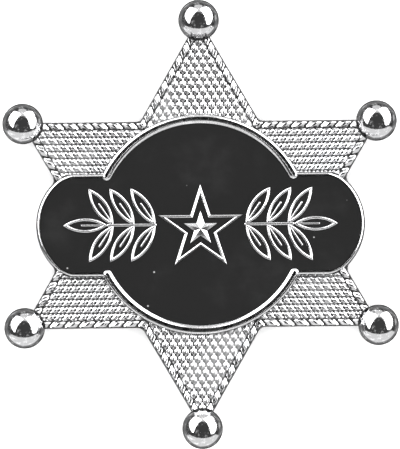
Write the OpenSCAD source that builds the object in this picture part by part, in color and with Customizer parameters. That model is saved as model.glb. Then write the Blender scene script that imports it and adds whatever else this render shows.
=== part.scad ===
// Six-pointed star badge with ball tips, lying face up.
// +X is right, +Y is up and +Z points at the viewer.
// The origin is on the surface, under the middle of the star.

/* [Star] */
// Distance from the middle of the star to the centre of each ball tip
ball_circle_r = 34.1; // [32:0.1:38]
// Radius of each ball tip
ball_r = 3.4; // [3.2:0.1:4]
// How far past the centre of its ball the two edges of an arm meet
arm_overrun = 0.3; // [0:0.1:1.5]
// Radius that rounds each inner corner of the outline
notch_r = 1.3; // [0.5:0.1:2]
// Thickness of the plate under the relief
plate_t = 1.2; // [0.8:0.1:1.6]
// How far the back of the plate lies below the centre of the balls
plate_drop = 0.4; // [0:0.1:0.6]

/* [Border of the arms] */
// Width of the smooth edge outside the rope
edge_w = 0.17; // [0.1:0.01:0.3]
// Width of the rope
rope_w = 0.92; // [0.6:0.02:1.1]
// Height of the rope above the plate
rope_h = 0.5; // [0.3:0.05:0.7]
// Distance along the edge from one strand of the rope to the next
rope_pitch = 2.45; // [2:0.05:3.2]
// Angle between a strand and the edge
rope_slant = 45; // [35:1:60]
// Width of the flat crest left on a strand
strand_flat = 0.4; // [0.2:0.05:0.7]
// Width of the channel between the rope and the knurl
channel_w = 0.26; // [0.15:0.01:0.4]

/* [Knurl] */
// Width of one diamond of the knurl, across its arm
diamond_w = 1.35; // [1.2:0.05:2]
// Length of one diamond of the knurl, along its arm
diamond_l = 2.35; // [2:0.05:3.2]
// Height of a diamond above the grooves round it
diamond_h = 0.4; // [0.2:0.05:0.5]
// Width of the flat left on top of a diamond
diamond_flat = 0.25; // [0.15:0.05:0.4]

/* [Disc and lobes] */
// Outer radius of the disc's double rim
disc_r = 18.26; // [17.5:0.01:18.4]
// Width of the outer band of the double rim
outer_band_w = 0.46; // [0.3:0.01:0.6]
// Width of the groove between the two bands
rim_groove_w = 0.33; // [0.2:0.01:0.5]
// Depth of the groove between the two bands
rim_groove_t = 0.5; // [0.2:0.05:0.7]
// Width of the inner band of the double rim
inner_band_w = 0.63; // [0.4:0.01:0.8]
// Radius of the rounded ends that close the double rim at the lobes
cap_r = 0.7; // [0.5:0.05:0.75]
// How far these ends stand into the enamel
cap_reach = 0.38; // [0.2:0.02:0.5]
// Distance from the middle of the star to the end of each side lobe
lobe_reach = 27.45; // [26:0.05:29]
// Half the height of a side lobe
lobe_half_h = 8.5; // [7.5:0.1:8.8]
// Radius of the end of a side lobe
lobe_end_r = 9.9; // [9.3:0.1:11]
// Radius of the four shoulders of a side lobe
lobe_shoulder_r = 4.3; // [3.6:0.1:5.2]
// Width of the raised edge round a side lobe
lobe_rim_w = 0.45; // [0.3:0.05:0.7]
// Height of the rims above the plate
rim_h = 0.95; // [0.7:0.05:1.3]
// Thickness of the enamel
enamel_t = 0.7; // [0.4:0.05:0.8]
// Gap between the enamel and the metal
enamel_gap = 0.03; // [0.02:0.01:0.06]

/* [Ornament] */
// Width of the raised outlines
line_w = 0.45; // [0.35:0.01:0.6]
// Height of the raised outlines above the plate
line_h = 0.95; // [0.7:0.05:1.3]
// Radius of the outlined star, to its points
star_r = 7.4; // [6.4:0.1:7.6]
// Radius of the solid star inside it
star_core_r = 2.9; // [2:0.1:3.4]
// Where each stem starts, from the middle of the star
stem_start = 7.5; // [7.4:0.05:8]
// Length of each stem
stem_l = 8.1; // [7.6:0.1:9]
// Pairs of leaves on each stem
leaf_pairs = 3; // [2:1:3]
// Distance between the pairs of leaves along the stem
leaf_pitch = 3.5; // [3.3:0.05:3.8]
// Angle between a leaf and its stem
leaf_angle = 56; // [50:1:62]
// Half the length of a leaf
leaf_half_l = 3.7; // [3:0.1:4]
// Half the width of a leaf
leaf_half_w = 1.2; // [1:0.05:1.35]
// Width of the vein inside a leaf
vein_w = 0.32; // [0.2:0.01:0.4]
// Length of the vein inside a leaf
vein_l = 4.4; // [3:0.1:5]

/* [Pin] */
// Height of the pin above the middle of the star, along Y
pin_y = 6; // [0:0.5:9]
// Length of the pin's base strip
strip_l = 28; // [22:0.5:32]
// Width of the base strip
strip_w = 3.6; // [3:0.1:5]
// Thickness of the base strip
strip_t = 0.5; // [0.4:0.05:0.6]
// Radius of the pin's wire
wire_r = 0.4; // [0.35:0.01:0.45]
// Length of the wire's pointed end
point_l = 2; // [1:0.1:3]
// How far the wire reaches past the base strip
wire_overhang = 1.2; // [0.5:0.1:2]
// Wall of the hinge and of the catch round the wire
catch_wall = 0.4; // [0.3:0.05:0.5]
// Length of the hinge and of the catch along the wire
catch_l = 1.8; // [1.4:0.1:2.4]
// Gap round the wire inside the catch
wire_gap = 0.1; // [0.05:0.01:0.15]
// Radius of the two studs that hold the base strip
stud_r = 0.8; // [0.5:0.05:1.2]
// Distance from the middle of the strip to each stud
stud_x = 8; // [5:0.5:9]
// Gap round the studs, and between the strip and the star
strip_gap = 0.05; // [0.03:0.01:0.1]
// Room between the pin and the surface under the badge
floor_gap = 0.3; // [0.2:0.05:0.5]

/* [Hidden] */
$fn = 96;
arms = 6;
arm_step = 360 / arms;
tip_half_angle = 30; // half the angle at an arm's point
up = 90;             // direction of the first arm and of the ornament's star

back_z = ball_r - plate_drop;
face_z = back_z + plate_t;
sink = plate_t / 2; // how deep raised metal is rooted in the plate
over = 0.2;         // how far a cutter stands clear of what it cuts
strand_bed = 0.1;   // metal left under the notches of the rope
diamond_bed = 0.05; // metal left under the grooves of the knurl
wide = 3 * ball_circle_r;

arm_tip_r = ball_circle_r + arm_overrun;
rope_in = edge_w + rope_w;
border_w = rope_in + channel_w;

rim_z = face_z + rim_h;
enamel_z = face_z + enamel_gap;
groove_r = disc_r - outer_band_w; // outer radius of the groove in the double rim
field_r = groove_r - rim_groove_w - inner_band_w;
groove_end_y = lobe_half_h - edge_w - lobe_rim_w + cap_r - cap_reach;
rope_root = lobe_rim_w / 2; // how far the rope runs into the wall of the rim

shoulder_y = lobe_half_h - lobe_shoulder_r;
lobe_end_x = lobe_reach - lobe_end_r;
shoulder_x = lobe_end_x + sqrt(pow(lobe_end_r - lobe_shoulder_r, 2) - pow(shoulder_y, 2));
shoulder_turn = atan2(shoulder_y, shoulder_x - lobe_end_x);
arc_steps = 8;

groove_pitch = diamond_w * diamond_l / norm([diamond_w, diamond_l]);
groove_turn = atan2(diamond_w, diamond_l);

star_points = 5;
point_step = 360 / star_points;
point_half_angle = point_step / 4;
core_ratio = sin(point_half_angle) / cos(point_step / 2); // inner corners' radius as a share of the points'
star_drop = star_r * (1 - cos(point_step / 2)) / 2;       // centres the star's height on the disc

leaf_arc_r = (pow(leaf_half_l, 2) + pow(leaf_half_w, 2)) / (2 * leaf_half_w);
leaf_root = line_w / 4; // how far a leaf's foot is rooted in its stem
// One row for each leaf: direction of its stem, distance along the stem, angle from the stem
leaves = [
    for (side = [0, 180])
        each concat(
            [for (i = [0 : leaf_pairs - 1], turn = [leaf_angle, -leaf_angle]) [side, i * leaf_pitch, turn]],
            [[side, stem_l - leaf_root, 0]]
        )
];

strip_z = back_z - strip_gap - strip_t;
catch_r = wire_r + wire_gap + catch_wall;
wire_z = floor_gap + catch_r;
wire_point_r = wire_r / 4;
hinge_x = -strip_l / 2 + catch_l / 2;
catch_x = strip_l / 2 - catch_l / 2;

leaf_names = [for (i = [1 : len(leaves)]) str("leaf_enamel_", i)];

function polar(r, angle) = r * [cos(angle), sin(angle)];

// Corners of the six-pointed star that two crossed triangles make, with its points at radius tip_r
function hexagram(tip_r) = [
    for (k = [0 : arms - 1])
        let (a = up + k * arm_step)
        each [polar(tip_r, a), polar(tip_r * tan(tip_half_angle), a + arm_step / 2)]
];

// Corners of a five-pointed star, with its edges moved outwards by grow
function five_star(r, grow) = [
    for (k = [0 : star_points - 1])
        let (a = up + k * point_step, full = r + grow / sin(point_half_angle))
        each [polar(full, a), polar(full * core_ratio, a + point_step / 2)]
];

function arc(x, y, r, from, to) = [
    for (i = [0 : arc_steps]) [x, y] + polar(r, from + (to - from) * i / arc_steps)
];

// One end of the lobes' outline, with its edge moved outwards by grow; side is 1 on the right, -1 on the left
function lobe_end(side, grow) = [
    for (p = concat(
        arc(shoulder_x, -shoulder_y, lobe_shoulder_r + grow, -90, -shoulder_turn),
        arc(lobe_end_x, 0, lobe_end_r + grow, -shoulder_turn, shoulder_turn),
        arc(shoulder_x, shoulder_y, lobe_shoulder_r + grow, shoulder_turn, 90)
    )) side * p
];

module lobes_2d(grow) {
    polygon(concat(lobe_end(1, grow), lobe_end(-1, grow)));
}

module outline_2d() {
    offset(r = -notch_r) offset(delta = notch_r) {
        polygon(hexagram(arm_tip_r));
        lobes_2d(0);
    }
}

// Outside of the raised rims round the disc and the lobes
module plateau_2d(grow) {
    circle(r = disc_r + grow);
    lobes_2d(grow - edge_w);
}

// The four rounded ends that close the groove of the double rim
module rim_caps_2d(grow) {
    middle_r = groove_r - rim_groove_w / 2;
    for (x = [-1, 1], y = [-1, 1])
        translate([x * sqrt(pow(middle_r, 2) - pow(groove_end_y, 2)), y * groove_end_y])
            circle(r = cap_r + grow);
}

// Inside of the same rims, which the enamel fills
module field_2d(grow) {
    difference() {
        union() {
            circle(r = field_r + grow);
            lobes_2d(grow - edge_w - lobe_rim_w);
        }
        rim_caps_2d(-grow);
    }
}

// A straight V groove along Y through the origin, w wide where it meets the plane z = 0
module v_groove(w, depth, length) {
    open = w * (1 + over / depth);
    rotate([90, 0, 0])
        linear_extrude(length, center = true)
            polygon([[-open / 2, over], [open / 2, over], [0, -depth]]);
}

module plate() {
    translate([0, 0, back_z]) linear_extrude(plate_t) outline_2d();
}

module ball_tips() {
    for (k = [0 : arms - 1])
        rotate(up + k * arm_step) translate([ball_circle_r, 0, ball_r]) sphere(ball_r);
}

// Extrudes a shape upwards from inside the plate to height h above its face
module raised(h) {
    translate([0, 0, face_z - sink]) linear_extrude(sink + h) children();
}

// The rope along both edges of each arm: a raised band with slanted notches that leave its strands
module rope_border() {
    strand_gap = rope_pitch * sin(rope_slant) - strand_flat;
    notch_l = 2 * rope_w / sin(rope_slant);
    edge_l = arm_tip_r * tan(tip_half_angle);
    difference() {
        raised(rope_h)
            difference() {
                polygon(hexagram(arm_tip_r - 2 * edge_w));
                polygon(hexagram(arm_tip_r - 2 * rope_in));
                plateau_2d(-rope_root);
            }
        for (k = [0 : arms - 1], side = [-1, 1])
            rotate(up + k * arm_step)
                translate([arm_tip_r, 0, face_z + rope_h])
                    rotate(180 + side * tip_half_angle)
                        for (t = [ball_r + rope_pitch / 2 : rope_pitch : edge_l])
                            translate([t, -side * (edge_w + rope_w / 2), 0])
                                rotate(side * (90 - rope_slant))
                                    v_groove(strand_gap, rope_h - strand_bed, notch_l);
    }
}

// The knurl on one arm, whose diamonds point along the arm
module knurled_arm(direction) {
    tip_r = arm_tip_r - 2 * border_w;
    corner = polar(tip_r * tan(tip_half_angle), arm_step / 2);
    arm_r = tip_r / 3; // radius of the circle through the arm's point and its two inner corners
    middle = polar(2 * arm_r, direction);
    reach = ceil(arm_r / groove_pitch);
    difference() {
        raised(diamond_bed + diamond_h)
            difference() {
                rotate(direction) polygon([[0, 0], [corner.x, -corner.y], [tip_r, 0], corner]);
                plateau_2d(channel_w / 2);
            }
        for (side = [-1, 1]) {
            across = direction - 90 + side * groove_turn; // direction square to the grooves
            nearest = round(middle * polar(1, across) / groove_pitch);
            for (i = [nearest - reach : nearest + reach])
                rotate(across)
                    translate([(i + 0.5) * groove_pitch, 0, face_z + diamond_bed + diamond_h])
                        v_groove(groove_pitch - diamond_flat, diamond_h, wide);
        }
    }
}

// The raised edge round the disc and the lobes; a groove makes it double above and below the lobes
module rims() {
    difference() {
        raised(rim_h)
            difference() {
                plateau_2d(0);
                field_2d(0);
            }
        translate([0, 0, rim_z - rim_groove_t])
            linear_extrude(rim_groove_t + over)
                difference() {
                    circle(r = groove_r);
                    circle(r = groove_r - rim_groove_w);
                    square([wide, 2 * groove_end_y], center = true);
                }
    }
}

// A leaf's pointed oval between two arcs, with its edge moved outwards by grow
module leaf_2d(grow) {
    intersection_for (side = [-1, 1])
        translate([leaf_half_l, side * (leaf_arc_r - leaf_half_w)]) circle(r = leaf_arc_r + grow);
}

module vein_2d(grow) {
    translate([-line_w, -vein_w / 2 - grow]) square([vein_l + line_w + grow, vein_w + 2 * grow]);
}

module place_leaf(leaf) {
    stem_direction = leaf[0];
    along = leaf[1];
    leaf_turn = leaf[2];
    rotate(stem_direction) translate([stem_start + along, 0]) rotate(leaf_turn) children();
}

module stems_2d(grow) {
    for (side = [0, 180])
        rotate(side) {
            translate([stem_start, -line_w / 2 - grow]) square([stem_l, line_w + 2 * grow]);
            translate([stem_start, 0]) circle(r = line_w / 2 + grow);
        }
}

module ornament_star() {
    translate([0, -star_drop]) {
        raised(line_h)
            difference() {
                polygon(five_star(star_r, 0));
                polygon(five_star(star_r, -line_w));
            }
        raised(line_h) polygon(five_star(star_core_r, 0));
    }
}

module ornament_branches() {
    raised(line_h) stems_2d(0);
    for (leaf = leaves)
        raised(line_h)
            place_leaf(leaf) {
                difference() {
                    leaf_2d(0);
                    leaf_2d(-line_w);
                }
                intersection() {
                    leaf_2d(-line_w / 2);
                    vein_2d(0);
                }
            }
}

module studs() {
    for (side = [-1, 1])
        translate([side * stud_x, pin_y, strip_z]) cylinder(r = stud_r, h = back_z - strip_z + sink);
}

module star_body() {
    color("silver") {
        plate();
        ball_tips();
        rope_border();
        for (k = [0 : arms - 1]) knurled_arm(up + k * arm_step);
        rims();
        ornament_star();
        ornament_branches();
        studs();
    }
}

module enamel() {
    color("black") translate([0, 0, enamel_z]) linear_extrude(enamel_t) children();
}

module enamel_field() {
    enamel()
        difference() {
            field_2d(-enamel_gap);
            translate([0, -star_drop]) polygon(five_star(star_r, enamel_gap));
            stems_2d(enamel_gap);
            for (leaf = leaves) place_leaf(leaf) leaf_2d(enamel_gap);
        }
}

module star_enamel() {
    enamel()
        translate([0, -star_drop])
            difference() {
                polygon(five_star(star_r, -line_w - enamel_gap));
                polygon(five_star(star_core_r, enamel_gap));
            }
}

module leaf_enamel(leaf) {
    enamel()
        place_leaf(leaf)
            difference() {
                leaf_2d(-line_w - enamel_gap);
                vein_2d(enamel_gap);
            }
}

// Moves a shape onto the wire's axis at x, with its Z along the wire
module on_wire(x) {
    translate([x, pin_y, wire_z]) rotate([0, 90, 0]) children();
}

// A post from the base strip down to the wire, rounded under it
module wire_post(x, y_size) {
    post_h = strip_z + strip_t / 2 - wire_z;
    translate([x, pin_y, wire_z + post_h / 2]) cube([catch_l, y_size, post_h], center = true);
    on_wire(x) cylinder(r = catch_r, h = catch_l, center = true);
}

module pin_clasp() {
    straight_l = strip_l / 2 + wire_overhang - hinge_x - point_l;
    bore_r = wire_r + wire_gap;
    color("lightgray") {
        difference() {
            union() {
                translate([0, pin_y, strip_z + strip_t / 2])
                    cube([strip_l, strip_w, strip_t], center = true);
                wire_post(catch_x, 2 * catch_wall);
            }
            for (side = [-1, 1])
                translate([side * stud_x, pin_y, strip_z - over])
                    cylinder(r = stud_r + strip_gap, h = strip_t + 2 * over);
            on_wire(catch_x) cylinder(r = bore_r, h = catch_l + 2 * over, center = true);
            translate([catch_x - catch_l / 2 - over, pin_y, wire_z - bore_r])
                cube([catch_l + 2 * over, catch_r + over, bore_r]);
        }
        wire_post(hinge_x, 2 * catch_r);
        on_wire(hinge_x) {
            cylinder(r = wire_r, h = straight_l);
            translate([0, 0, straight_l]) cylinder(r1 = wire_r, r2 = wire_point_r, h = point_l);
        }
    }
}

star_body();
enamel_field();
star_enamel();
pin_clasp();
for (i = [0 : len(leaves) - 1])
    leaf_enamel(leaves[i]);
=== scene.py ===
import math

import bmesh
import bpy
from mathutils import Matrix, Vector


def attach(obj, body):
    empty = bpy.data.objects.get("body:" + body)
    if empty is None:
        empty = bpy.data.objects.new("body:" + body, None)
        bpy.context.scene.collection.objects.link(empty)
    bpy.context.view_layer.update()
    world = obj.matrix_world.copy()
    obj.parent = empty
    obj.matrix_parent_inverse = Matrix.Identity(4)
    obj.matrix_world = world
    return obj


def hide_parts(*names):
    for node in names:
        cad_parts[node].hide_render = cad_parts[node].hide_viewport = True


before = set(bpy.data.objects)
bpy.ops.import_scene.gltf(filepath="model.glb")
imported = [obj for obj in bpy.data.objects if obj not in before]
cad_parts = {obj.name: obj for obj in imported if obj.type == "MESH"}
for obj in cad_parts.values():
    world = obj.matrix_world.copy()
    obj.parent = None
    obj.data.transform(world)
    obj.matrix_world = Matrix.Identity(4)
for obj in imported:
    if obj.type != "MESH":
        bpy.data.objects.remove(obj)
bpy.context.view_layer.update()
print("cad frame loaded,", len(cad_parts), "nodes")

mm = 0.001  # all sizes below are in millimetres, as on the part's drawing

badge = {
    "arms": 6,
    "firstArm": 90,  # degrees, straight up
    "ballCircleR": 34.1,
    "ballR": 3.4,
    "armTipR": 34.4,
    "tipHalfAngle": 30,
    "notchR": 1.3,
    "backZ": 3.0,
    "faceZ": 4.2,
    "rootZ": 4.0,  # relief starts here, inside the plate
    "rimR": 18.26,  # outside of the round rim
}
lobe = {"reach": 27.45, "halfHeight": 8.5, "endR": 9.9, "shoulderR": 4.3}
armStep = 360 / badge["arms"]
notchCornerR = badge["armTipR"] * math.tan(math.radians(badge["tipHalfAngle"]))


def polar(r, angle, x=0.0, y=0.0):
    a = math.radians(angle)
    return (x + r * math.cos(a), y + r * math.sin(a))


def arcPoints(x, y, r, start, end, steps):
    return [polar(r, start + (end - start) * i / steps, x, y) for i in range(steps + 1)]


def turned(points, angle, x=0.0, y=0.0):
    c, s = math.cos(math.radians(angle)), math.sin(math.radians(angle))
    return [(x + c * u - s * v, y + s * u + c * v) for u, v in points]


def smooth(t):
    t = min(max(t, 0.0), 1.0)
    return t * t * (3 - 2 * t)


def mix(a, b, t):
    return a + (b - a) * t


# flat shapes that several pieces share

shoulderY = lobe["halfHeight"] - lobe["shoulderR"]
lobeEndX = lobe["reach"] - lobe["endR"]
shoulderX = lobeEndX + math.sqrt((lobe["endR"] - lobe["shoulderR"]) ** 2 - shoulderY**2)
shoulderTurn = math.degrees(math.atan2(shoulderY, shoulderX - lobeEndX))


def outsideLobes(x, y):  # distance from the lobes' outline, below zero inside it
    x, y = abs(x), abs(y)
    if x <= shoulderX:
        return y - lobe["halfHeight"]
    if math.degrees(math.atan2(y, x - lobeEndX)) < shoulderTurn:
        return math.hypot(x - lobeEndX, y) - lobe["endR"]
    return math.hypot(x - shoulderX, y - shoulderY) - lobe["shoulderR"]


def inwardVectors(path, closed=True):  # moves of a path's points that bring its edges 1 mm inwards
    n = len(path)
    vectors = []
    for i, (x, y) in enumerate(path):
        px, py = path[i - 1] if closed or i else path[i]
        nx, ny = path[(i + 1) % n] if closed or i < n - 1 else path[i]
        a, b = Vector((py - y, x - px)), Vector((y - ny, nx - x))
        a, b = (a or b).normalized(), (b or a).normalized()
        vectors.append((a + b) / (1 + a.dot(b)))
    return vectors


def loft(path, rows, closed=True):  # rows holds (inset, z) pairs, or gives them for each point
    rowsAt = rows if callable(rows) else lambda i: rows
    n, inward = len(path), inwardVectors(path, closed)
    sections = [
        [(x + u * inset, y + v * inset, z) for inset, z in rowsAt(i)]
        for i, ((x, y), (u, v)) in enumerate(zip(path, inward))
    ]
    count = len(sections[0])
    verts = [section[k] for k in range(count) for section in sections]
    faces = []
    for k in range(count - 1):
        for i in range(n if closed else n - 1):
            j = (i + 1) % n
            faces.append((k * n + i, k * n + j, (k + 1) * n + j, (k + 1) * n + i))
    return verts, faces


nearLine = 1e-6  # a corner as near as this to a cut lies on it


def cutTriangles(points, triangles, field):  # keeps the part of a flat mesh where the field is above zero
    points = list(points)
    value = [field(x, y) for x, y in points]
    value = [0.0 if abs(v) < nearLine else v for v in value]
    cuts = {}

    def cut(i, j):
        key = (min(i, j), max(i, j))
        if key not in cuts:
            t = value[i] / (value[i] - value[j])
            points.append((mix(points[i][0], points[j][0], t), mix(points[i][1], points[j][1], t)))
            cuts[key] = len(points) - 1
        return cuts[key]

    kept = []
    for tri in triangles:
        inside = [value[i] > 0 for i in tri]
        if all(inside):
            kept.append(tri)
        elif any(inside):
            odd = inside.index(sum(inside) == 1)  # the one corner that differs from the other two
            a, b, c = tri[odd], tri[(odd + 1) % 3], tri[(odd + 2) % 3]
            if inside[odd]:
                kept.append((a, cut(a, b), cut(a, c)))
            else:
                kept += [(b, c, cut(a, c)), (b, cut(a, c), cut(a, b))]
    used = sorted({i for tri in kept for i in tri})
    place = {old: new for new, old in enumerate(used)}
    return [points[i] for i in used], [tuple(place[i] for i in tri) for tri in kept]


def standUp(points, triangles, heightAt, footZ):  # raises a flat mesh and closes it down to its foot
    verts = [(x, y, heightAt(x, y)) for x, y in points]
    edges = {(t[k], t[(k + 1) % 3]) for t in triangles for k in range(3)}
    border = sorted(e for e in edges if (e[1], e[0]) not in edges)
    foot = {}
    for i in sorted({i for e in border for i in e}):
        foot[i] = len(verts)
        verts.append((*points[i], footZ))
    return verts, list(triangles) + [(b, a, foot[a], foot[b]) for a, b in border]


meshing = {"merge": 0.002, "sliver": 0.001, "crease": 40}  # an edge stays sharp from the crease angle on


def makePiece(name, parts, materials, crease=meshing["crease"], isBack=None):
    mesh = bpy.data.meshes.new(name)
    verts, faces = [], []
    for partVerts, partFaces in parts:
        base = len(verts)
        verts += [(x * mm, y * mm, z * mm) for x, y, z in partVerts]
        faces += [tuple(i + base for i in face) for face in partFaces]
    mesh.from_pydata(verts, [], faces)
    for material in materials:
        mesh.materials.append(material)
    if isBack:  # tells which faces get the second material
        for polygon in mesh.polygons:
            polygon.material_index = 1 if isBack(polygon) else 0
    shell = bmesh.new()
    shell.from_mesh(mesh)
    bmesh.ops.remove_doubles(shell, verts=shell.verts, dist=meshing["merge"] * mm)
    bmesh.ops.dissolve_degenerate(shell, edges=shell.edges, dist=meshing["sliver"] * mm)
    shell.to_mesh(mesh)
    shell.free()
    mesh.shade_smooth()
    mesh.set_sharp_from_angle(angle=math.radians(crease))
    piece = bpy.data.objects.new(name, mesh)
    bpy.context.scene.collection.objects.link(piece)
    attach(piece, "root")
    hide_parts("star_body")
    print(name, len(mesh.polygons), "faces")


# shader groups


def addNode(tree, kind, inputs=None, **settings):
    node = tree.nodes.new(kind)
    for key, value in settings.items():
        setattr(node, key, value)
    for key, value in (inputs or {}).items():
        if isinstance(value, bpy.types.NodeSocket):
            tree.links.new(value, node.inputs[key])
        else:
            node.inputs[key].default_value = value
    return node


def mathNode(tree, operation, a, b=0.0, c=0.0):
    return addNode(tree, "ShaderNodeMath", {0: a, 1: b, 2: c}, operation=operation).outputs[0]


def ramp(tree, value, low, high, outLow=0.0, outHigh=1.0):
    inputs = {"Value": value, "From Min": low, "From Max": high, "To Min": outLow, "To Max": outHigh}
    return addNode(tree, "ShaderNodeMapRange", inputs, interpolation_type="SMOOTHSTEP").outputs[0]


def mixColors(tree, factor, a, b):
    node = addNode(tree, "ShaderNodeMix", {0: factor, 6: a, 7: b}, data_type="RGBA")
    return node.outputs[2]


def newGroup(name, inputs, outputs):
    group = bpy.data.node_groups.new(name, "ShaderNodeTree")
    for label, value in inputs.items():
        socket = group.interface.new_socket(name=label, in_out="INPUT", socket_type="NodeSocketFloat")
        socket.default_value = value
    for label in outputs:
        group.interface.new_socket(name=label, in_out="OUTPUT", socket_type="NodeSocketFloat")
    return group, group.nodes.new("NodeGroupInput").outputs, group.nodes.new("NodeGroupOutput").inputs


def noise(tree, vector, scale, detail=2.0, roughness=0.5):
    inputs = {"Vector": vector, "Scale": scale, "Detail": detail, "Roughness": roughness}
    return addNode(tree, "ShaderNodeTexNoise", inputs).outputs[0]


def objectPlace(tree):
    return addNode(tree, "ShaderNodeTexCoord").outputs["Object"]


surfaceLook = {"pitEdge": (0.36, 0.5), "smudgeSize": 140.0, "smudgeEdge": (0.42, 0.68)}


def buildCastSurface():  # the slight waves and pits that a casting keeps under its plating
    inputs = {"Wave Scale": 700.0, "Pit Scale": 5000.0, "Pits": 0.3}
    group, given, result = newGroup("castSurface", inputs, ["Height", "Smudge", "Pit Mask"])
    place = objectPlace(group)
    wave = noise(group, place, given["Wave Scale"], detail=3.0)
    grain = noise(group, place, given["Pit Scale"], roughness=0.6)
    pit = ramp(group, grain, *surfaceLook["pitEdge"], 1.0, 0.0)
    sunk = mathNode(group, "MULTIPLY", pit, given["Pits"])
    group.links.new(mathNode(group, "SUBTRACT", wave, sunk), result["Height"])
    smudge = noise(group, place, surfaceLook["smudgeSize"], detail=4.0, roughness=0.6)
    group.links.new(ramp(group, smudge, *surfaceLook["smudgeEdge"]), result["Smudge"])
    group.links.new(sunk, result["Pit Mask"])
    return group


dirtAndShadeLook = {"patchSize": 900.0, "patchEdge": (0.3, 0.7), "thinnest": 0.45}


def buildReliefDirtAndShade():  # dirt that settles low in the relief, and painted shade in its hollows
    group, given, result = newGroup("reliefDirtAndShade", {"Low": 0.0042, "High": 0.0046, "Amount": 0.5}, ["Mask"])
    position = addNode(group, "ShaderNodeNewGeometry").outputs["Position"]
    height = addNode(group, "ShaderNodeSeparateXYZ", {0: position}).outputs["Z"]
    depth = mathNode(group, "SUBTRACT", given["High"], height)
    span = mathNode(group, "SUBTRACT", given["High"], given["Low"])
    low = ramp(group, mathNode(group, "DIVIDE", depth, span), 0.0, 1.0)
    cloud = noise(group, position, dirtAndShadeLook["patchSize"], detail=3.0)
    patchy = ramp(group, cloud, *dirtAndShadeLook["patchEdge"], dirtAndShadeLook["thinnest"], 1.0)
    dirtAndShadeMask = mathNode(group, "MULTIPLY", mathNode(group, "MULTIPLY", low, patchy), given["Amount"])
    group.links.new(dirtAndShadeMask, result["Mask"])
    return group


castSurface = buildCastSurface()
reliefDirtAndShade = buildReliefDirtAndShade()


def useGroup(tree, group, values):
    node = tree.nodes.new("ShaderNodeGroup")
    node.node_tree = group
    for label, value in values.items():
        node.inputs[label].default_value = value
    return node.outputs


def newMaterial(name):
    material = bpy.data.materials.new(name)
    material.use_nodes = True
    tree = material.node_tree
    return material, tree, tree.nodes["Principled BSDF"]


def gray(value, blue=0.0):
    return (value, value, value + blue, 1.0)


def addBump(tree, shader, height, distance):
    bump = addNode(tree, "ShaderNodeBump", {"Strength": 1.0, "Distance": distance * mm, "Height": height})
    tree.links.new(bump.outputs[0], shader.inputs["Normal"])


chromeLook = {
    "bright": 0.88, "dark": 0.3, "blue": 0.01,
    "roughness": 0.13, "smudged": 1.8,  # smudges are this many times rougher
    "waves": 700.0, "grain": 5000.0,  # scales of the noise
    "pits": 0.25, "bump": 0.007,
    "low": 4.2, "high": 4.45,  # heights between which the dirt and the painted shade fade out
    "dirtAndShade": 0.5, "dirtRoughness": 0.3,
}


def makeChrome(name, changes):
    look = {**chromeLook, **changes}
    material, tree, shader = newMaterial(name)
    shader.inputs["Metallic"].default_value = 1.0
    surface = {"Wave Scale": look["waves"], "Pit Scale": look["grain"], "Pits": look["pits"]}
    cast = useGroup(tree, castSurface, surface)
    # darkens the base colour low in the relief and in the pits: dirt that settles there, and painted shade
    # in the hollows
    dirtAndShadeRange = {"Low": look["low"] * mm, "High": look["high"] * mm, "Amount": look["dirtAndShade"]}
    dirtAndShade = useGroup(tree, reliefDirtAndShade, dirtAndShadeRange)
    inPits = mathNode(tree, "MULTIPLY", cast["Pit Mask"], look["dirtAndShade"])
    darkening = mathNode(tree, "MAXIMUM", dirtAndShade["Mask"], inPits)
    color = mixColors(tree, darkening, gray(look["bright"], look["blue"]), gray(look["dark"]))
    tree.links.new(color, shader.inputs["Base Color"])
    smudged = look["roughness"] * look["smudged"]
    polish = ramp(tree, cast["Smudge"], 0.0, 1.0, look["roughness"], smudged)
    rough = mathNode(tree, "MULTIPLY_ADD", darkening, look["dirtRoughness"], polish)
    tree.links.new(rough, shader.inputs["Roughness"])
    addBump(tree, shader, cast["Height"], look["bump"])
    return material


brightChrome = makeChrome("brightChrome", {})
ballChrome = makeChrome("ballChrome", {"roughness": 0.03, "bump": 0.006, "dirtAndShade": 0.0})
# painted shade: the plate lies wholly below the heights where the darkening fades, so its edge and its bare
# face are painted dark, for the dark line round the outline
plateChrome = makeChrome("plateChrome", {"dirtAndShade": 0.9, "dark": 0.08})
ropeChrome = makeChrome("ropeChrome", {"roughness": 0.05, "bump": 0.004, "dirtAndShade": 0.3})
knurlChrome = makeChrome(
    "knurlChrome", {"bright": 0.95, "roughness": 0.19, "bump": 0.005, "dirtAndShade": 0.1}
)
# painted shade: the groove's floor lies below these heights, so it is painted near black
rimChrome = makeChrome("rimChrome", {
    "bright": 0.98, "dark": 0.03, "roughness": 0.08, "bump": 0.005,
    "low": 4.8, "high": 4.93, "dirtAndShade": 1.0,
})
castBack = makeChrome("castBack", {
    "roughness": 0.22, "grain": 2600.0, "pits": 0.9, "bump": 0.05,
    "low": 2.9, "high": 2.95, "dirtAndShade": 0.3,
})


enamelLook = {
    "base": 0.0108, "haze": 0.016, "hazeSize": 110.0, "hazeEdge": (0.5, 0.8),
    "roughness": 0.1, "hazed": 2,  # the haze is this many times rougher
    "speck": 0.3, "speckCells": 900.0,
    "speckChoice": (0.958, 0.962),  # only cells whose random number lies above this hold a speck
    "speckEdge": (0.07, 0.18), "speckHeight": 0.6,
    "skin": 420.0, "bump": 0.01,
    "specular": 0.3, "coat": 0.1, "coatRoughness": 0.04,
}


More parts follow.
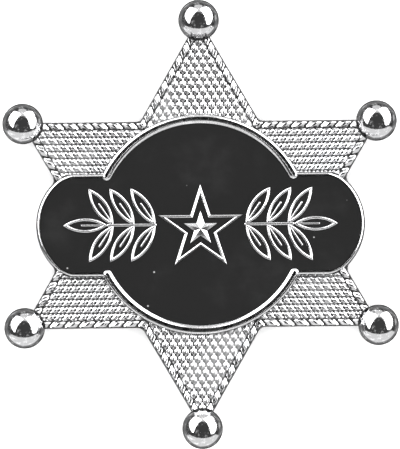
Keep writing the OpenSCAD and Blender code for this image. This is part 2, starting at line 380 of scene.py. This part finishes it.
def makeBlackEnamel():
    look = enamelLook
    material, tree, shader = newMaterial("blackEnamel")
    place = objectPlace(tree)
    cloud = noise(tree, place, look["hazeSize"], detail=5.0, roughness=0.62)
    cloud = ramp(tree, cloud, *look["hazeEdge"])
    film = mixColors(tree, cloud, gray(look["base"]), gray(look["haze"]))
    cells = addNode(tree, "ShaderNodeTexVoronoi", {"Vector": place, "Scale": look["speckCells"]})
    chance = addNode(tree, "ShaderNodeSeparateColor", {0: cells.outputs["Color"]}).outputs[0]
    chosen = ramp(tree, chance, *look["speckChoice"])
    dot = ramp(tree, cells.outputs["Distance"], *look["speckEdge"], 1.0, 0.0)
    speck = mathNode(tree, "MULTIPLY", chosen, dot)
    tree.links.new(mixColors(tree, speck, film, gray(look["speck"])), shader.inputs["Base Color"])
    rough = ramp(tree, cloud, 0.0, 1.0, look["roughness"], look["roughness"] * look["hazed"])
    tree.links.new(rough, shader.inputs["Roughness"])
    raised = mathNode(tree, "MULTIPLY", speck, look["speckHeight"])
    addBump(tree, shader, mathNode(tree, "ADD", noise(tree, place, look["skin"]), raised), look["bump"])
    shader.inputs["Specular IOR Level"].default_value = look["specular"]
    shader.inputs["Coat Weight"].default_value = look["coat"]
    shader.inputs["Coat Roughness"].default_value = look["coatRoughness"]
    return material


steelLook = {
    "base": 0.62, "worn": 0.45, "blue": 0.01,
    "roughness": 0.26, "brushed": 1.5,
    "stretch": (0.04, 1.0, 1.0),  # the brushing runs along the pin
    "brushSize": 6000.0, "brushEdge": (0.3, 0.7), "bump": 0.006,
}


def makePinSteel():
    look = steelLook
    material, tree, shader = newMaterial("pinSteel")
    shader.inputs["Metallic"].default_value = 1.0
    along = {"Vector": objectPlace(tree), "Scale": look["stretch"]}
    along = addNode(tree, "ShaderNodeMapping", along).outputs[0]
    brushing = noise(tree, along, look["brushSize"], detail=3.0, roughness=0.6)
    cast = useGroup(tree, castSurface, {"Wave Scale": 300.0, "Pit Scale": 4000.0, "Pits": 0.2})
    color = mixColors(tree, cast["Smudge"], gray(look["base"], look["blue"]), gray(look["worn"]))
    tree.links.new(color, shader.inputs["Base Color"])
    brushed = look["roughness"] * look["brushed"]
    rough = ramp(tree, brushing, *look["brushEdge"], look["roughness"], brushed)
    tree.links.new(rough, shader.inputs["Roughness"])
    addBump(tree, shader, brushing, look["bump"])
    return material


blackEnamel = makeBlackEnamel()
pinSteel = makePinSteel()
print("materials made")


# the star plate

plate = {
    "fillet": 10,  # steps in each rounded inner corner
    "lobeEnd": 18,  # steps in half of a lobe's end
    # insets and heights of its rounded edge
    "back": [(0.4, 3.0), (0.12, 3.0), (0.03, 3.04), (0.0, 3.12)],
    "front": [(0.0, 3.3), (0.13, 3.9), (0.22, 4.16), (0.25, 4.2), (0.4, 4.2)],
    "crease": 24,
    "backNormal": -0.5,  # faces that look further down than this have the rougher back
}


def quarterOutline():
    tipTurn = badge["tipHalfAngle"]
    armEdge = Vector(polar(1, armStep))  # an arm's lower edge, from the inner corner to the tip
    outward = Vector(polar(1, armStep - 90))
    middle = Vector((lobeEndX, 0))
    r = badge["notchR"]
    start = Vector((notchCornerR, 0)) + outward * r
    w = start - middle
    far = -w.dot(armEdge) + math.sqrt(w.dot(armEdge) ** 2 - w.length_squared + (lobe["endR"] + r) ** 2)
    corner = start + armEdge * far
    endTurn = math.degrees(math.atan2(corner.y, corner.x - lobeEndX))
    path = arcPoints(lobeEndX, 0, lobe["endR"], 0, endTurn, plate["lobeEnd"])
    path += arcPoints(*corner, r, endTurn + 180, armStep + 90, plate["fillet"])
    path.append(polar(badge["armTipR"], tipTurn))
    inner = polar(notchCornerR + r / math.cos(math.radians(tipTurn)), armStep)
    path += arcPoints(*inner, r, 270, 210, plate["fillet"])
    path.append(polar(badge["armTipR"], badge["firstArm"]))
    return path


def starOutline():
    quarter = quarterOutline()
    half = quarter + [(-x, y) for x, y in reversed(quarter[:-1])]
    return half[:-1] + [(-x, -y) for x, y in half[:-1]]


def facesDown(polygon):
    return polygon.normal.z < plate["backNormal"]


def makePlate():
    path = starOutline()
    rows = plate["back"] + plate["front"]
    verts, faces = loft(path, rows)
    n, last = len(path), len(rows) - 1
    low, high = len(verts), len(verts) + 1
    verts += [(0, 0, badge["backZ"]), (0, 0, badge["faceZ"])]
    faces += [((i + 1) % n, i, low) for i in range(n)]
    faces += [(last * n + i, last * n + (i + 1) % n, high) for i in range(n)]
    makePiece("star_plate", [(verts, faces)], [plateChrome, castBack], plate["crease"], facesDown)


makePlate()


# the ball tips

balls = {
    "r": 3.388,  # a little less than the solid's
    "around": 80,
    "rings": 40,
    "crease": 60,
    "gap": 0.13,  # width of the bare ring between a ball and the relief
}


def outsideBall(x, y, turn=badge["firstArm"]):  # distance from the bare ring round an arm's ball
    bx, by = polar(badge["ballCircleR"], turn)
    return math.hypot(x - bx, y - by) - badge["ballR"] - balls["gap"]


def ballMesh(x, y, z, r):
    verts, faces = [(x, y, z - r)], []
    n = balls["around"]
    for k in range(1, balls["rings"]):
        tilt = math.pi * k / balls["rings"]
        flat, up = r * math.sin(tilt), z - r * math.cos(tilt)
        verts += [(px, py, up) for px, py in arcPoints(x, y, flat, 0, 360, n)[:-1]]
    verts.append((x, y, z + r))
    top = len(verts) - 1
    for i in range(n):
        j = (i + 1) % n
        faces.append((0, 1 + j, 1 + i))
        faces += [
            (1 + k * n + i, 1 + k * n + j, 1 + (k + 1) * n + j, 1 + (k + 1) * n + i)
            for k in range(balls["rings"] - 2)
        ]
        faces.append((top, top - n + i, top - n + j))
    return verts, faces


def makeBalls():
    turns = [badge["firstArm"] + k * armStep for k in range(badge["arms"])]
    parts = [ballMesh(*polar(badge["ballCircleR"], turn), badge["ballR"], balls["r"]) for turn in turns]
    makePiece("ball_tips", parts, [ballChrome], balls["crease"])


makeBalls()


# the rope border

rope = {
    "outer": 0.25,
    "inner": 1.17,
    "height": 0.62,
    "pitch": 2.45,
    "slant": 45,  # degrees between a strand and the edge
    "start": 2.6,  # from the arm's tip, inside the ball
    "lobeLap": 0.2,  # the rope runs this far in under the rims of the lobes
    "stepsAcross": 16,
    "stepsAlong": 220,
    "bed": 0.15,  # share of the height that stays under the notches
    "shoulder": 0.5,  # share of the rope's half width that is rounded off at its sides
    "side": 0.62,  # height left at the sides, as a share
    "fade": 0.7,  # the strands run out this far before an inner corner
    "fadedWave": 0.5,
}


def armEdgeFrame(arm, side):  # tip of the arm, direction of its edge, direction into the arm
    turn = badge["firstArm"] + arm * armStep
    edge = Vector(polar(1, turn + 180 + side * badge["tipHalfAngle"]))
    return Vector(polar(badge["armTipR"], turn)), edge, Vector((side * edge.y, -side * edge.x))


def ropeStrip(tip, edge, into, side):  # flat mesh of a rope
    spread = math.tan(math.radians(badge["tipHalfAngle"]))
    along, across = rope["stepsAlong"], rope["stepsAcross"]
    points, triangles = [], []
    for i in range(along + 1):
        for j in range(across + 1):
            d = mix(rope["outer"], rope["inner"], j / across)
            s = mix(rope["start"], notchCornerR + d * spread, i / along)
            points.append(tuple(tip + edge * s + into * d))
    n = across + 1
    for i in range(along):
        for j in range(across):
            a, b, c, d = i * n + j, (i + 1) * n + j, (i + 1) * n + j + 1, i * n + j + 1
            triangles += [(a, b, c), (a, c, d)] if side < 0 else [(a, c, b), (a, d, c)]
    return points, triangles


def ropeAlong(arm, side):
    tip, edge, into = armEdgeFrame(arm, side)
    middle = (rope["inner"] + rope["outer"]) / 2
    half = (rope["inner"] - rope["outer"]) / 2
    firstNotch = badge["ballR"] + rope["pitch"] / 2  # from the arm's tip: a strand starts at the ball
    lean = 1 / math.tan(math.radians(rope["slant"]))
    spread = math.tan(math.radians(badge["tipHalfAngle"]))
    points, triangles = ropeStrip(tip, edge, into, side)
    turn = badge["firstArm"] + arm * armStep
    fields = [lambda x, y: outsideLobes(x, y) + rope["lobeLap"], lambda x, y: outsideBall(x, y, turn)]
    for field in fields:
        points, triangles = cutTriangles(points, triangles, field)

    def height(x, y):
        v = Vector((x, y)) - tip
        s, d = v.dot(edge), v.dot(into)
        q = abs(d - middle) / half
        body = mix(1.0, rope["side"], smooth((q - 1 + rope["shoulder"]) / rope["shoulder"]))
        strand = (s - (d - middle) * lean - firstNotch) / rope["pitch"]
        wave = 0.5 - 0.5 * math.cos(2 * math.pi * strand)
        left = notchCornerR + d * spread - s
        wave = mix(rope["fadedWave"], wave, smooth(left / rope["fade"]))
        return badge["faceZ"] + rope["height"] * body * mix(rope["bed"], 1.0, wave)

    return standUp(points, triangles, height, badge["rootZ"])


def makeRope():
    parts = [ropeAlong(arm, side) for arm in range(badge["arms"]) for side in (-1, 1)]
    makePiece("rope_border", parts, [ropeChrome])


makeRope()


# the knurl

knurl = {
    "diamondW": 1.35,
    "diamondL": 2.35,  # along the arm
    "bedZ": 4.25,
    "height": 0.38,
    "crown": 0.55,  # share of a cushion that is rounded at its top
    "foot": 0.1,  # share that is rounded down into the groove
    "squareness": 4,
    "border": 1.35,  # width of the rope and the channel beside it
    "rimGap": 0.12,
    "lobeGap": 0.06,
    "steps": 11,  # mesh steps across a diamond
    "reach": 0.4,  # how far out the mesh starts and how wide it is, in shares of the arm's tip radius
}


def cushion(q):  # from 1 at the top of a diamond to 0 at its groove, straight between its rounded ends
    crown, foot = knurl["crown"], knurl["foot"]
    steepness = 1 / (1 - crown / 2 - foot / 2)
    if q > 1 - foot:
        return steepness * max(0.0, 1 - q) ** 2 / (2 * foot)
    if q > crown:
        return 1 - steepness * (q - crown / 2)
    return 1 - steepness * q * q / (2 * crown)


def knurlHeight(x, y):
    u, v = x / knurl["diamondW"], y / knurl["diamondL"]
    a, b = u + v, u - v
    a, b = 2 * abs(a - round(a)), 2 * abs(b - round(b))
    power = knurl["squareness"]
    return knurl["bedZ"] + knurl["height"] * cushion((a**power + b**power) ** (1 / power))


def knurlOnArm(arm):  # made on the upper arm and then turned to its own
    turn = arm * armStep

    def insideEdge(side):
        tip, _, into = armEdgeFrame(0, side)
        return lambda x, y: (x - tip.x) * into.x + (y - tip.y) * into.y - knurl["border"]

    fields = [
        insideEdge(-1),
        insideEdge(1),
        lambda x, y: math.hypot(x, y) - badge["rimR"] - knurl["rimGap"],
        lambda x, y: outsideLobes(*turned([(x, y)], turn)[0]) - knurl["lobeGap"],
        outsideBall,
    ]
    n = knurl["steps"]
    cellW, cellL = knurl["diamondW"] / (2 * n), knurl["diamondL"] / (2 * n)
    place, points, triangles = {}, [], []

    def corner(a, b):
        if (a, b) not in place:
            place[(a, b)] = len(points)
            points.append(((a + b) * cellW, (a - b) * cellL))
        return place[(a, b)]

    nearest = badge["armTipR"] * knurl["reach"]
    low, high = round(nearest / (2 * cellL)), round(badge["armTipR"] / (2 * cellL))
    wide = round(nearest / (2 * cellW))
    for a in range(low - wide, high + wide):
        for b in range(-high - wide, wide - low):
            x, y = (a + b + 1) * cellW, (a - b) * cellL
            if y > 0 and all(field(x, y) > -2 * cellL for field in fields):
                below, right = corner(a, b + 1), corner(a + 1, b + 1)
                above, left = corner(a + 1, b), corner(a, b)
                triangles += [(below, right, above), (below, above, left)]
    for field in fields:
        points, triangles = cutTriangles(points, triangles, field)
    verts, faces = standUp(points, triangles, knurlHeight, badge["rootZ"])
    flat = turned([(x, y) for x, y, _ in verts], turn)
    return [(x, y, vert[2]) for (x, y), vert in zip(flat, verts)], faces


def makeKnurl():
    parts = [knurlOnArm(arm) for arm in range(badge["arms"])]
    makePiece("knurl", parts, [knurlChrome])


makeKnurl()


# the rims

rims = {
    "innerR": 16.84,
    "outerBand": 0.43,
    "innerBand": 0.58,
    "grooveR": 17.635,
    "grooveEndY": 8.2,
    "grooveZ": 4.65,
    "shoulderZ": 4.97,
    "outerSlope": 30.5,  # degrees, of the band outside the groove, which falls outwards
    "innerSlope": 32,  # of the band inside it, which falls inwards
    "rounding": 0.03,  # of each band's far edge
    "crest": 0.13,  # width of the rounded crest of each band, beside the groove
    "crestShape": ((0.7, 0.2), (0.45, 0.2), (0.2, 0.0)),  # places and rises, in shares of the crest
    "crestDrop": 0.5,  # height lost at the groove, as a share of crest
    "floorLap": 0.05,  # the groove's floor runs this far in under the bands
    "lobeInset": 0.25,  # bare edge outside the rim at a lobe's end
    "sideInset": 0.06,  # the same beside the knurl
    "insetStartX": 21.0,
    "insetEndX": 23.0,
    "lobeWidth": 0.37,
    "lobeStartX": 16.0,
    "arcSteps": 110,
    "turnSteps": 14,
    "endSteps": 56,
    "shoulderSteps": 12,
}


def bandRows(width, slope, footZ, grooveZ):  # rises from its far side to a crest beside the groove
    rise = math.tan(math.radians(slope))
    rounding, crest, low = rims["rounding"], rims["crest"], rims["shoulderZ"]
    high = low + rise * (width - crest)
    rows = [(0, footZ), (0, low - rounding), (rounding, low + rounding * rise), (width - crest, high)]
    rows += [(width - crest * back, high + up * crest * rise) for back, up in rims["crestShape"]]
    return rows + [(width, high - crest * rims["crestDrop"]), (width, grooveZ)]


def doubleRim():  # one closed ridge that runs round the groove, above the lobes
    turn = math.degrees(math.asin(rims["grooveEndY"] / rims["grooveR"]))
    gapOut, gapIn = badge["rimR"] - rims["grooveR"], rims["grooveR"] - rims["innerR"]
    steps, bend = rims["arcSteps"], rims["turnSteps"]
    outer = arcPoints(0, 0, badge["rimR"], turn, 180 - turn, steps)
    inner = arcPoints(0, 0, rims["innerR"], 180 - turn, turn, steps)
    radial, along = Vector(polar(1, turn)), Vector(polar(1, turn + 90))
    middle = Vector(polar(rims["grooveR"], turn))
    hook = []
    for i in range(1, bend):
        phi = math.pi * (1 - i / bend)
        r = mix(gapIn, gapOut, i / bend)
        hook.append(tuple(middle + (radial * math.cos(phi) - along * math.sin(phi)) * r))
    path = outer + [(-x, y) for x, y in reversed(hook)] + inner + hook
    ease = [i / bend for i in range(1, bend)]
    # 1 on the outer band and 0 on the inner, in the path's order
    outward = [1.0] * len(outer) + ease[::-1] + [0.0] * len(inner) + ease
    bands = [mix(rims["innerBand"], rims["outerBand"], t) for t in outward]
    slopes = [mix(rims["innerSlope"], rims["outerSlope"], t) for t in outward]
    ridge = loft(path, lambda i: bandRows(bands[i], slopes[i], badge["rootZ"], rims["grooveZ"]))
    halfGroove = (badge["rimR"] - rims["innerR"] - rims["outerBand"] - rims["innerBand"]) / 2
    across = (-rims["floorLap"], halfGroove)
    floor = loft(path, lambda i: [(bands[i] + inset, rims["grooveZ"]) for inset in across])
    return [ridge, floor]


def lobeRim():
    shoulder, end = lobe["shoulderR"], lobe["endR"]
    steps = rims["shoulderSteps"]
    lower = arcPoints(shoulderX, -shoulderY, shoulder, -90, -shoulderTurn, steps)
    middle = arcPoints(lobeEndX, 0, end, -shoulderTurn, shoulderTurn, rims["endSteps"])
    upper = arcPoints(shoulderX, shoulderY, shoulder, shoulderTurn, 90, steps)
    half = lobe["halfHeight"]
    path = [(rims["lobeStartX"], -half)] + lower + middle[1:-1] + upper + [(rims["lobeStartX"], half)]
    profile = bandRows(rims["lobeWidth"], rims["outerSlope"], badge["rootZ"], badge["rootZ"])

    def rows(i):
        toEnd = smooth((path[i][0] - rims["insetStartX"]) / (rims["insetEndX"] - rims["insetStartX"]))
        inset = mix(rims["sideInset"], rims["lobeInset"], toEnd)
        return [(inset + across, z) for across, z in profile]

    return loft(path, rows, closed=False)


def halfTurn(part):
    verts, faces = part
    return [(-x, -y, z) for x, y, z in verts], faces


def makeRims():
    ring = doubleRim()
    makePiece("double_rim", ring + [halfTurn(part) for part in ring], [rimChrome])
    makePiece("lobe_rims", [lobeRim(), halfTurn(lobeRim())], [rimChrome])


makeRims()


# the ornament: a star between two branches

ornament = {
    "lineW": 0.45,
    "shoulderZ": 5.02,
    "slope": 30,
    "rounding": 0.03,
    "crestHalfW": 0.05,
    "crestDrop": 0.4,  # how far the rounded crest stays under the roof's ridge, as a share of crestHalfW
    "starR": 7.4,
    "starPoints": 5,
    "starCrease": 12,
    "coreR": 2.9,
    "coreStep": 0.04,
    "coreEdgeZ": 4.97,
    "corePeakZ": 5.4,
    "stemStart": 7.5,
    "stemL": 8.1,
    "leafPairs": 3,
    "leafPitch": 3.5,
    "leafAngle": 56,
    "leafHalfL": 3.7,
    "leafHalfW": 1.2,
    "leafSteps": 16,
    "veinW": 0.32,
    "veinStart": 0.3,
    "veinEnd": 4.4,
    "endSteps": 8,
    "barRoof": ((0.7, 0.7), (0.999, 0.85)),  # places across and heights, in shares of a bar's half width
}
pointStep = 360 / ornament["starPoints"]
coreRatio = math.sin(math.radians(pointStep / 4)) / math.cos(math.radians(pointStep / 2))
starDrop = ornament["starR"] * (1 - math.cos(math.radians(pointStep / 2))) / 2


def fiveStar(r):
    path = []
    for k in range(ornament["starPoints"]):
        turn = badge["firstArm"] + k * pointStep
        path += [polar(r, turn, 0, -starDrop), polar(r * coreRatio, turn + pointStep / 2, 0, -starDrop)]
    return path


def outlineRows():  # a raised line with a roof and a rounded crest
    width, rounding, k = ornament["lineW"], ornament["rounding"], ornament["crestHalfW"]
    shoulder = ornament["shoulderZ"]
    rise = math.tan(math.radians(ornament["slope"]))
    crest = shoulder + rise * width / 2
    return [
        (0, badge["rootZ"]),
        (0, shoulder - rounding),
        (rounding, shoulder + rounding * rise),
        (width / 2 - k, crest - k * rise),
        (width / 2, crest - k * ornament["crestDrop"] * rise),
        (width / 2 + k, crest - k * rise),
        (width - rounding, shoulder + rounding * rise),
        (width, shoulder - rounding),
        (width, badge["rootZ"]),
    ]


def facetedStar():
    path = fiveStar(ornament["coreR"])
    n = len(path)
    edge, bevelled = ornament["coreEdgeZ"], ornament["coreEdgeZ"] + ornament["rounding"]
    verts, faces = loft(path, [(0, badge["rootZ"]), (0, edge), (ornament["coreStep"], bevelled)])
    verts.append((0, -starDrop, ornament["corePeakZ"]))
    faces += [(2 * n + i, 2 * n + (i + 1) % n, len(verts) - 1) for i in range(n)]
    return verts, faces


def bar(x0, x1, width):  # a raised bar along X with round ends and a roof
    half = width / 2
    rise = math.tan(math.radians(ornament["slope"]))
    top, rounding, steps = ornament["shoulderZ"], ornament["rounding"], ornament["endSteps"]
    path = arcPoints(x1 - half, 0, half, -90, 90, steps) + arcPoints(x0 + half, 0, half, 90, 270, steps)
    rows = [(0, badge["rootZ"]), (0, top - rounding), (rounding, top + rounding * rise)]
    return path, rows + [(half * across, top + half * up * rise) for across, up in ornament["barRoof"]]


def leafRows():  # direction of the stem, place along it, angle from it
    rows = []
    for stem in (0, 180):
        for i in range(ornament["leafPairs"]):
            rows += [(stem, i * ornament["leafPitch"], turn * ornament["leafAngle"]) for turn in (1, -1)]
        rows.append((stem, ornament["stemL"] - ornament["lineW"] / 4, 0))
    return rows


def onStem(path, leaf):
    stem, along, turn = leaf
    return turned(turned(path, turn, ornament["stemStart"] + along), stem)


def leafOutline():
    a, b, steps = ornament["leafHalfL"], ornament["leafHalfW"], ornament["leafSteps"]
    r = (a * a + b * b) / (2 * b)
    spread = math.degrees(math.asin(a / r))
    lower = arcPoints(a, r - b, r, 270 - spread, 270 + spread, steps)
    upper = arcPoints(a, b - r, r, 90 - spread, 90 + spread, steps)
    return lower[:-1] + upper[:-1]


def makeOrnament():
    star = loft(fiveStar(ornament["starR"]), outlineRows())
    makePiece("ornament_star", [star, facetedStar()], [brightChrome], ornament["starCrease"])
    parts = []
    for stem in (0, 180):
        path, rows = bar(-ornament["lineW"] / 2, ornament["stemL"], ornament["lineW"])
        parts.append(loft(onStem(path, (stem, 0, 0)), rows))
    for leaf in leafRows():
        parts.append(loft(onStem(leafOutline(), leaf), outlineRows()))
        path, rows = bar(ornament["veinStart"], ornament["veinEnd"], ornament["veinW"])
        parts.append(loft(onStem(path, leaf), rows))
    makePiece("ornament_branches", parts, [brightChrome])


makeOrnament()


# the two studs on the back

studs = {
    "r": 0.8,
    "x": 8.0,
    "y": 6.0,
    "endZ": 2.42,
    "dome": 0.16,
    "domeSteps": (0.8, 0.6, 0.4, 0.25, 0.12, 0.04),  # from the middle to the side, in shares of r
    "domePower": 2.5,
    "edge": 0.08,
    "sunk": 0.1,  # into the plate
    "around": 40,
    "crease": 50,
}


def makeStuds():
    parts = []
    for side in (-1, 1):
        path = arcPoints(side * studs["x"], studs["y"], studs["r"], 0, 360, studs["around"])[:-1]
        rows = [(studs["r"] * 0.999, studs["endZ"] - studs["dome"])]  # almost at the middle
        for share in studs["domeSteps"]:
            swell = 1 - (1 - share) ** studs["domePower"]
            rows.append((studs["r"] * share, studs["endZ"] - studs["dome"] * swell))
        rows += [(0, studs["endZ"] + studs["edge"]), (0, badge["backZ"] + studs["sunk"])]
        parts.append(loft(path, rows))
    makePiece("pin_studs", parts, [castBack], studs["crease"])


makeStuds()


# the cad nodes that stay: enamel and pin

dressing = {"weld": 0.0005, "pinEdge": 0.05, "edgeSteps": 2, "crease": 38}


def dressNode(nodeName, material, edge=0):
    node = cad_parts[nodeName]
    node.data.materials.clear()
    node.data.materials.append(material)
    weld = node.modifiers.new("weld", "WELD")
    weld.merge_threshold = dressing["weld"] * mm
    if not edge:
        return
    bevel = node.modifiers.new("softEdges", "BEVEL")
    bevel.width = edge * mm
    bevel.segments = dressing["edgeSteps"]
    bevel.limit_method = "ANGLE"
    bevel.angle_limit = math.radians(dressing["crease"])
    bevel.harden_normals = True


for nodeName in sorted(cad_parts):
    if "enamel" in nodeName:
        dressNode(nodeName, blackEnamel)
dressNode("pin_clasp", pinSteel, dressing["pinEdge"])
print("cad nodes dressed")


# floor, light and camera

studio = {
    "floorSize": 3.0,  # metres
    "floorGrays": (0.8, 0.84),
    "floorFibers": 260.0,
    "floorRoughness": 0.9,
    "softBoxes": [  # corners, as a ball tip mirrors them: right and up, in shares of its radius
        [(-0.68, 0.22), (-0.4, 0.64), (0.0, 0.46), (-0.44, -0.24)],
        [(0.03, 0.5), (0.44, 0.66), (0.71, 0.15), (0.56, -0.25), (0.38, -0.26)],
    ],
    "dimBox": [(-0.2, 0.34), (-0.22, 0.72), (0.22, 0.72), (0.2, 0.34)],  # in the gap between the two
    "dimGlow": 0.62,
    "boxGlow": 3.4,
    "boxFade": (-0.03, 0.13),  # each side of a box lets light in over this span
    "boxEdge": (0.4, 0.52),  # the product of its sides is cut here, which rounds its corners
    "diffuseGlow": 2.2,  # what matt surfaces get from all round
    "domeGlow": 0.05,
    "lowGlow": 0.17,
    "lowEdge": (-0.5, -0.18),  # heights of a direction, from -1 straight down to 1 straight up
    "nadirGlow": 0.035,
    "nadirEdge": (-0.88, -0.72),
    "clutterGlow": 0.45,  # of the pale patches that the room behind the boxes shows
    "clutterSize": 3.6,
    "clutterPatches": (0.52, 0.66),
    "clutterTop": (0.8, 0.95),
    "cardGlow": 0.7,
    "cardDirection": (0, -0.813, -0.582),
    "cardHalfAngle": 73.0,
    "cardBlur": 0.02,
    "cardFoot": (-0.52, -0.36),
    "cardSideAngle": 66.0,  # how far it reaches to each side of straight below
    "cardSideBlur": 0.04,
}


def makeFloor():
    mesh = bpy.data.meshes.new("floor")
    half = studio["floorSize"] / 2
    corners = [(-half, -half, 0), (half, -half, 0), (half, half, 0), (-half, half, 0)]
    mesh.from_pydata(corners, [], [(0, 1, 2, 3)])
    material, tree, shader = newMaterial("paleFloor")
    fiber = noise(tree, objectPlace(tree), studio["floorFibers"], detail=4.0, roughness=0.6)
    low, high = studio["floorGrays"]
    tree.links.new(mixColors(tree, fiber, gray(low), gray(high)), shader.inputs["Base Color"])
    shader.inputs["Roughness"].default_value = studio["floorRoughness"]
    mesh.materials.append(material)
    floor = bpy.data.objects.new("floor", mesh)
    bpy.context.scene.collection.objects.link(floor)
    floor.visible_glossy = False


def mirrored(x, y):  # direction that a ball seen from above mirrors at this place
    z = math.sqrt(1 - x * x - y * y)
    return Vector((2 * z * x, 2 * z * y, 2 * z * z - 1))


def dotProduct(tree, direction, vector):
    inputs = {0: direction, 1: vector}
    return addNode(tree, "ShaderNodeVectorMath", inputs, operation="DOT_PRODUCT").outputs["Value"]


def softBoxMask(tree, direction, corners):
    corners = [mirrored(*corner) for corner in corners]
    middle = sum(corners, Vector())
    mask = None
    for k, corner in enumerate(corners):
        side = corner.cross(corners[(k + 1) % len(corners)]).normalized()
        side = side if side.dot(middle) > 0 else -side
        inside = ramp(tree, dotProduct(tree, direction, side), *studio["boxFade"])
        mask = mathNode(tree, "MULTIPLY", mask, inside) if mask else inside
    return ramp(tree, mask, *studio["boxEdge"])


def cardMask(tree, direction, height, north):
    facing = dotProduct(tree, direction, Vector(studio["cardDirection"]).normalized())
    edge, blur = math.cos(math.radians(studio["cardHalfAngle"])), studio["cardBlur"]
    inside = ramp(tree, facing, edge - blur, edge + blur)
    mask = mathNode(tree, "MULTIPLY", inside, ramp(tree, height, *studio["cardFoot"]))
    level = mathNode(tree, "SUBTRACT", 1.0, mathNode(tree, "MULTIPLY", height, height))
    lean = mathNode(tree, "DIVIDE", north, mathNode(tree, "SQRT", level))
    side, blur = -math.cos(math.radians(studio["cardSideAngle"])), studio["cardSideBlur"]
    return mathNode(tree, "MULTIPLY", mask, ramp(tree, lean, side - blur, side + blur, 1.0, 0.0))


def makeSky():
    world = bpy.data.worlds.new("studioSky")
    bpy.context.scene.world = world
    world.use_nodes = True
    tree = world.node_tree
    direction = addNode(tree, "ShaderNodeTexCoord").outputs["Generated"]
    parts = addNode(tree, "ShaderNodeSeparateXYZ", {0: direction}).outputs
    height = parts["Z"]
    glow = ramp(tree, height, *studio["lowEdge"], studio["lowGlow"], studio["domeGlow"])
    nadir = ramp(tree, height, *studio["nadirEdge"], studio["nadirGlow"] - studio["lowGlow"], 0.0)
    glow = mathNode(tree, "ADD", glow, nadir)
    clutter = noise(tree, direction, studio["clutterSize"], detail=4.0, roughness=0.65)
    clutter = ramp(tree, clutter, *studio["clutterPatches"])
    clutter = mathNode(tree, "MULTIPLY", clutter, ramp(tree, height, *studio["clutterTop"], 1.0, 0.0))
    card = cardMask(tree, direction, height, parts["Y"])
    lights = [(clutter, studio["clutterGlow"]), (card, studio["cardGlow"])]
    for corners in studio["softBoxes"]:
        lights.append((softBoxMask(tree, direction, corners), studio["boxGlow"]))
    lights.append((softBoxMask(tree, direction, studio["dimBox"]), studio["dimGlow"]))
    for mask, strength in lights:
        glow = mathNode(tree, "MULTIPLY_ADD", mask, strength, glow)
    ray = addNode(tree, "ShaderNodeLightPath").outputs
    glow = mathNode(tree, "MAXIMUM", glow, ray["Is Camera Ray"])
    soft = mathNode(tree, "MULTIPLY", ray["Is Diffuse Ray"], studio["diffuseGlow"])
    tree.links.new(mathNode(tree, "MAXIMUM", glow, soft), tree.nodes["Background"].inputs["Color"])
    world.cycles.sampling_method = "NONE"  # the sky is told apart by ray, so it is found by bounces alone


view = {
    "lens": 300,
    "sensor": 36,
    "photoWidth": 400,  # this and the next three in pixels of the photograph
    "photoHeight": 449,
    "centreX": 200.55,
    "centreY": 224.4,
    "millimetresPerPixel": 0.16667,
    "roll": 0.57,  # degrees that the photographed badge is turned to the left
    "nearest": 0.01,  # metres, as the next
    "farthest": 20,
}


def makeCamera():
    data = bpy.data.cameras.new("camera")
    data.lens = view["lens"]
    data.sensor_width = view["sensor"]
    scale = view["millimetresPerPixel"] * mm
    distance = view["photoHeight"] * scale / data.sensor_width * view["lens"]
    camera = bpy.data.objects.new("camera", data)
    offset = Vector((
        (view["photoWidth"] / 2 - view["centreX"]) * scale,
        (view["centreY"] - view["photoHeight"] / 2) * scale,
        badge["faceZ"] * mm + distance,
    ))
    turn = Matrix.Rotation(math.radians(-view["roll"]), 4, "Z")
    camera.matrix_world = turn @ Matrix.Translation(offset)
    data.clip_start, data.clip_end = view["nearest"], view["farthest"]
    bpy.context.scene.collection.objects.link(camera)
    bpy.context.scene.camera = camera


makeFloor()
makeSky()
makeCamera()
bpy.context.scene.view_settings.view_transform = "Standard"
print("studio ready")
